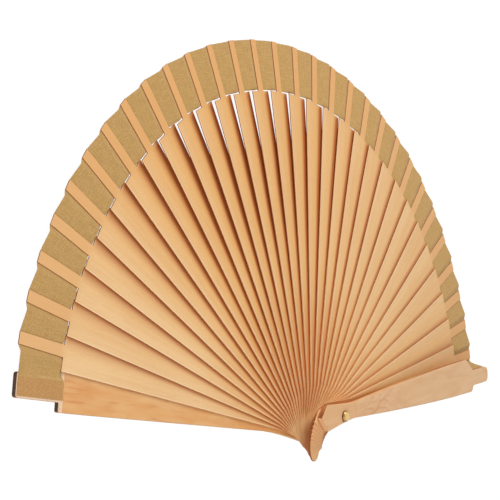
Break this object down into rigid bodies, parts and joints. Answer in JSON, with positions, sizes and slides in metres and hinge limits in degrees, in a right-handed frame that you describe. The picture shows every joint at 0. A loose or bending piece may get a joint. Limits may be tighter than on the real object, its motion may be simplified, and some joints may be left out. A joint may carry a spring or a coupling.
{
  "type": "folding fan",
  "caption": "Folding hand fan, fully open: thin wooden sticks between two guards, fanned out on one brass rivet, with a pleated cloth band at the outer ends.",
  "frame": {"origin": "centre of the rivet's flat back end, on the axis that every stick and guard turns on", "axes": "+Z along the rivet from its back end to its domed head, +Y up the middle of the open fan, +X to the right, towards the front guard"},
  "size_m": [0.457, 0.2593, 0.0662],
  "materials": {
    "stick_wood": "satin, fine straight grain along each stick",
    "front_guard_wood": "satin, paler figured grain",
    "rear_guard_wood": "satin, reddish streaks",
    "brass": "polished",
    "cloth": "matte, fine plain weave"
  },
  "bodies": {
    "rear_guard_body": {"rear_guard": "rear_guard_wood", "rivet": "brass", "rivet_washer": "brass", "leaf": "cloth"},
    "stick_01_body": {"stick_01": "stick_wood"},
    "stick_02_body": {"stick_02": "stick_wood"},
    "stick_03_body": {"stick_03": "stick_wood"},
    "stick_04_body": {"stick_04": "stick_wood"},
    "stick_05_body": {"stick_05": "stick_wood"},
    "stick_06_body": {"stick_06": "stick_wood"},
    "stick_07_body": {"stick_07": "stick_wood"},
    "stick_08_body": {"stick_08": "stick_wood"},
    "stick_09_body": {"stick_09": "stick_wood"},
    "stick_10_body": {"stick_10": "stick_wood"},
    "stick_11_body": {"stick_11": "stick_wood"},
    "stick_12_body": {"stick_12": "stick_wood"},
    "stick_13_body": {"stick_13": "stick_wood"},
    "stick_14_body": {"stick_14": "stick_wood"},
    "stick_15_body": {"stick_15": "stick_wood"},
    "stick_16_body": {"stick_16": "stick_wood"},
    "stick_17_body": {"stick_17": "stick_wood"},
    "stick_18_body": {"stick_18": "stick_wood"},
    "stick_19_body": {"stick_19": "stick_wood"},
    "stick_20_body": {"stick_20": "stick_wood"},
    "stick_21_body": {"stick_21": "stick_wood"},
    "stick_22_body": {"stick_22": "stick_wood"},
    "stick_23_body": {"stick_23": "stick_wood"},
    "stick_24_body": {"stick_24": "stick_wood"},
    "stick_25_body": {"stick_25": "stick_wood"},
    "stick_26_body": {"stick_26": "stick_wood"},
    "stick_27_body": {"stick_27": "stick_wood"},
    "stick_28_body": {"stick_28": "stick_wood"},
    "stick_29_body": {"stick_29": "stick_wood"},
    "stick_30_body": {"stick_30": "stick_wood"},
    "front_guard_body": {"front_guard": "front_guard_wood"}
  },
  "joints": [
    {"name": "fold_stick_01", "type": "hinge", "parent": "rear_guard_body", "child": "stick_01_body", "pos_m": [0, 0, 0], "axis": [0, 0, 1], "range_deg": [0, 5.49], "deforming": ["leaf"]},
    {"name": "fold_stick_02", "type": "hinge", "parent": "stick_01_body", "child": "stick_02_body", "pos_m": [0, 0, 0], "axis": [0, 0, 1], "range_deg": [0, 5.49]},
    {"name": "fold_stick_03", "type": "hinge", "parent": "stick_02_body", "child": "stick_03_body", "pos_m": [0, 0, 0], "axis": [0, 0, 1], "range_deg": [0, 5.49]},
    {"name": "fold_stick_04", "type": "hinge", "parent": "stick_03_body", "child": "stick_04_body", "pos_m": [0, 0, 0], "axis": [0, 0, 1], "range_deg": [0, 5.49]},
    {"name": "fold_stick_05", "type": "hinge", "parent": "stick_04_body", "child": "stick_05_body", "pos_m": [0, 0, 0], "axis": [0, 0, 1], "range_deg": [0, 5.49]},
    {"name": "fold_stick_06", "type": "hinge", "parent": "stick_05_body", "child": "stick_06_body", "pos_m": [0, 0, 0], "axis": [0, 0, 1], "range_deg": [0, 5.49]},
    {"name": "fold_stick_07", "type": "hinge", "parent": "stick_06_body", "child": "stick_07_body", "pos_m": [0, 0, 0], "axis": [0, 0, 1], "range_deg": [0, 5.49]},
    {"name": "fold_stick_08", "type": "hinge", "parent": "stick_07_body", "child": "stick_08_body", "pos_m": [0, 0, 0], "axis": [0, 0, 1], "range_deg": [0, 5.49]},
    {"name": "fold_stick_09", "type": "hinge", "parent": "stick_08_body", "child": "stick_09_body", "pos_m": [0, 0, 0], "axis": [0, 0, 1], "range_deg": [0, 5.49]},
    {"name": "fold_stick_10", "type": "hinge", "parent": "stick_09_body", "child": "stick_10_body", "pos_m": [0, 0, 0], "axis": [0, 0, 1], "range_deg": [0, 5.49]},
    {"name": "fold_stick_11", "type": "hinge", "parent": "stick_10_body", "child": "stick_11_body", "pos_m": [0, 0, 0], "axis": [0, 0, 1], "range_deg": [0, 5.49]},
    {"name": "fold_stick_12", "type": "hinge", "parent": "stick_11_body", "child": "stick_12_body", "pos_m": [0, 0, 0], "axis": [0, 0, 1], "range_deg": [0, 5.49]},
    {"name": "fold_stick_13", "type": "hinge", "parent": "stick_12_body", "child": "stick_13_body", "pos_m": [0, 0, 0], "axis": [0, 0, 1], "range_deg": [0, 5.49]},
    {"name": "fold_stick_14", "type": "hinge", "parent": "stick_13_body", "child": "stick_14_body", "pos_m": [0, 0, 0], "axis": [0, 0, 1], "range_deg": [0, 5.49]},
    {"name": "fold_stick_15", "type": "hinge", "parent": "stick_14_body", "child": "stick_15_body", "pos_m": [0, 0, 0], "axis": [0, 0, 1], "range_deg": [0, 5.49]},
    {"name": "fold_stick_16", "type": "hinge", "parent": "stick_15_body", "child": "stick_16_body", "pos_m": [0, 0, 0], "axis": [0, 0, 1], "range_deg": [0, 5.49]},
    {"name": "fold_stick_17", "type": "hinge", "parent": "stick_16_body", "child": "stick_17_body", "pos_m": [0, 0, 0], "axis": [0, 0, 1], "range_deg": [0, 5.49]},
    {"name": "fold_stick_18", "type": "hinge", "parent": "stick_17_body", "child": "stick_18_body", "pos_m": [0, 0, 0], "axis": [0, 0, 1], "range_deg": [0, 5.49]},
    {"name": "fold_stick_19", "type": "hinge", "parent": "stick_18_body", "child": "stick_19_body", "pos_m": [0, 0, 0], "axis": [0, 0, 1], "range_deg": [0, 5.49]},
    {"name": "fold_stick_20", "type": "hinge", "parent": "stick_19_body", "child": "stick_20_body", "pos_m": [0, 0, 0], "axis": [0, 0, 1], "range_deg": [0, 5.49]},
    {"name": "fold_stick_21", "type": "hinge", "parent": "stick_20_body", "child": "stick_21_body", "pos_m": [0, 0, 0], "axis": [0, 0, 1], "range_deg": [0, 5.49]},
    {"name": "fold_stick_22", "type": "hinge", "parent": "stick_21_body", "child": "stick_22_body", "pos_m": [0, 0, 0], "axis": [0, 0, 1], "range_deg": [0, 5.49]},
    {"name": "fold_stick_23", "type": "hinge", "parent": "stick_22_body", "child": "stick_23_body", "pos_m": [0, 0, 0], "axis": [0, 0, 1], "range_deg": [0, 5.49]},
    {"name": "fold_stick_24", "type": "hinge", "parent": "stick_23_body", "child": "stick_24_body", "pos_m": [0, 0, 0], "axis": [0, 0, 1], "range_deg": [0, 5.49]},
    {"name": "fold_stick_25", "type": "hinge", "parent": "stick_24_body", "child": "stick_25_body", "pos_m": [0, 0, 0], "axis": [0, 0, 1], "range_deg": [0, 5.49]},
    {"name": "fold_stick_26", "type": "hinge", "parent": "stick_25_body", "child": "stick_26_body", "pos_m": [0, 0, 0], "axis": [0, 0, 1], "range_deg": [0, 5.49]},
    {"name": "fold_stick_27", "type": "hinge", "parent": "stick_26_body", "child": "stick_27_body", "pos_m": [0, 0, 0], "axis": [0, 0, 1], "range_deg": [0, 5.49]},
    {"name": "fold_stick_28", "type": "hinge", "parent": "stick_27_body", "child": "stick_28_body", "pos_m": [0, 0, 0], "axis": [0, 0, 1], "range_deg": [0, 5.49]},
    {"name": "fold_stick_29", "type": "hinge", "parent": "stick_28_body", "child": "stick_29_body", "pos_m": [0, 0, 0], "axis": [0, 0, 1], "range_deg": [0, 5.49]},
    {"name": "fold_stick_30", "type": "hinge", "parent": "stick_29_body", "child": "stick_30_body", "pos_m": [0, 0, 0], "axis": [0, 0, 1], "range_deg": [0, 5.49]},
    {"name": "fold_front_guard", "type": "hinge", "parent": "stick_30_body", "child": "front_guard_body", "pos_m": [0, 0, 0], "axis": [0, 0, 1], "range_deg": [0, 3.4]}
  ],
  "couplings": [
    {"joint": "fold_stick_02", "follows": "fold_stick_01", "ratio": 1},
    {"joint": "fold_stick_03", "follows": "fold_stick_01", "ratio": 1},
    {"joint": "fold_stick_04", "follows": "fold_stick_01", "ratio": 1},
    {"joint": "fold_stick_05", "follows": "fold_stick_01", "ratio": 1},
    {"joint": "fold_stick_06", "follows": "fold_stick_01", "ratio": 1},
    {"joint": "fold_stick_07", "follows": "fold_stick_01", "ratio": 1},
    {"joint": "fold_stick_08", "follows": "fold_stick_01", "ratio": 1},
    {"joint": "fold_stick_09", "follows": "fold_stick_01", "ratio": 1},
    {"joint": "fold_stick_10", "follows": "fold_stick_01", "ratio": 1},
    {"joint": "fold_stick_11", "follows": "fold_stick_01", "ratio": 1},
    {"joint": "fold_stick_12", "follows": "fold_stick_01", "ratio": 1},
    {"joint": "fold_stick_13", "follows": "fold_stick_01", "ratio": 1},
    {"joint": "fold_stick_14", "follows": "fold_stick_01", "ratio": 1},
    {"joint": "fold_stick_15", "follows": "fold_stick_01", "ratio": 1},
    {"joint": "fold_stick_16", "follows": "fold_stick_01", "ratio": 1},
    {"joint": "fold_stick_17", "follows": "fold_stick_01", "ratio": 1},
    {"joint": "fold_stick_18", "follows": "fold_stick_01", "ratio": 1},
    {"joint": "fold_stick_19", "follows": "fold_stick_01", "ratio": 1},
    {"joint": "fold_stick_20", "follows": "fold_stick_01", "ratio": 1},
    {"joint": "fold_stick_21", "follows": "fold_stick_01", "ratio": 1},
    {"joint": "fold_stick_22", "follows": "fold_stick_01", "ratio": 1},
    {"joint": "fold_stick_23", "follows": "fold_stick_01", "ratio": 1},
    {"joint": "fold_stick_24", "follows": "fold_stick_01", "ratio": 1},
    {"joint": "fold_stick_25", "follows": "fold_stick_01", "ratio": 1},
    {"joint": "fold_stick_26", "follows": "fold_stick_01", "ratio": 1},
    {"joint": "fold_stick_27", "follows": "fold_stick_01", "ratio": 1},
    {"joint": "fold_stick_28", "follows": "fold_stick_01", "ratio": 1},
    {"joint": "fold_stick_29", "follows": "fold_stick_01", "ratio": 1},
    {"joint": "fold_stick_30", "follows": "fold_stick_01", "ratio": 1},
    {"joint": "fold_front_guard", "follows": "fold_stick_01", "ratio": 0.6193}
  ]
}
